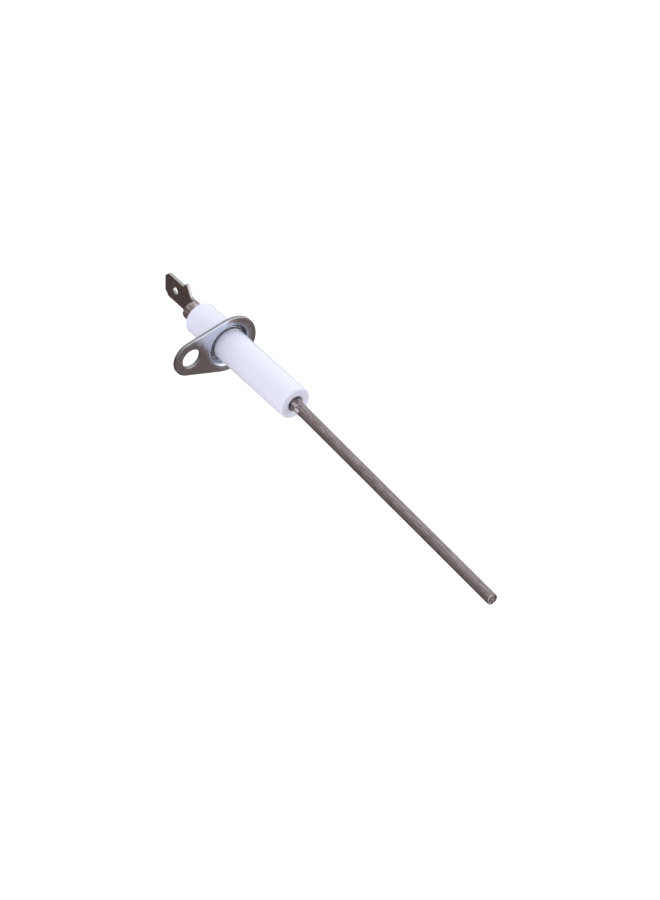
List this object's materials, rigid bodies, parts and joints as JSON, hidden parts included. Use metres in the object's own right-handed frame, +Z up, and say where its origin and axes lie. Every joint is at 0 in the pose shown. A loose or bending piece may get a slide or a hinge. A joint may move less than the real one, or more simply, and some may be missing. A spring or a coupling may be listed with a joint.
{
  "type": "ignition electrode",
  "caption": "Burner ignition electrode: glazed ceramic tube with a long bare metal rod, a pear-shaped flange with a screw hole, and a flat push-on tab.",
  "frame": {"origin": "on the electrode's axis, in the plane of the flange face that seats on the burner (the face towards the spark end)", "axes": "+X along the electrode, from the push-on tab to the spark tip; +Z up, across the width of the tab's blade; the flange's screw lobe reaches towards -Y"},
  "size_m": [0.1183, 0.0213, 0.0138],
  "materials": {
    "alumina": "gloss",
    "cement": "matte",
    "electrode_wire": "satin",
    "zinc_plate": "satin",
    "spring_steel": "satin",
    "tab_metal": "satin"
  },
  "bodies": {
    "root": {"ceramic_insulator": "alumina", "bore_cement": "cement", "electrode_rod": "electrode_wire", "mounting_flange": "zinc_plate", "retaining_ring": "spring_steel", "terminal_tab": "tab_metal"}
  },
  "joints": []
}
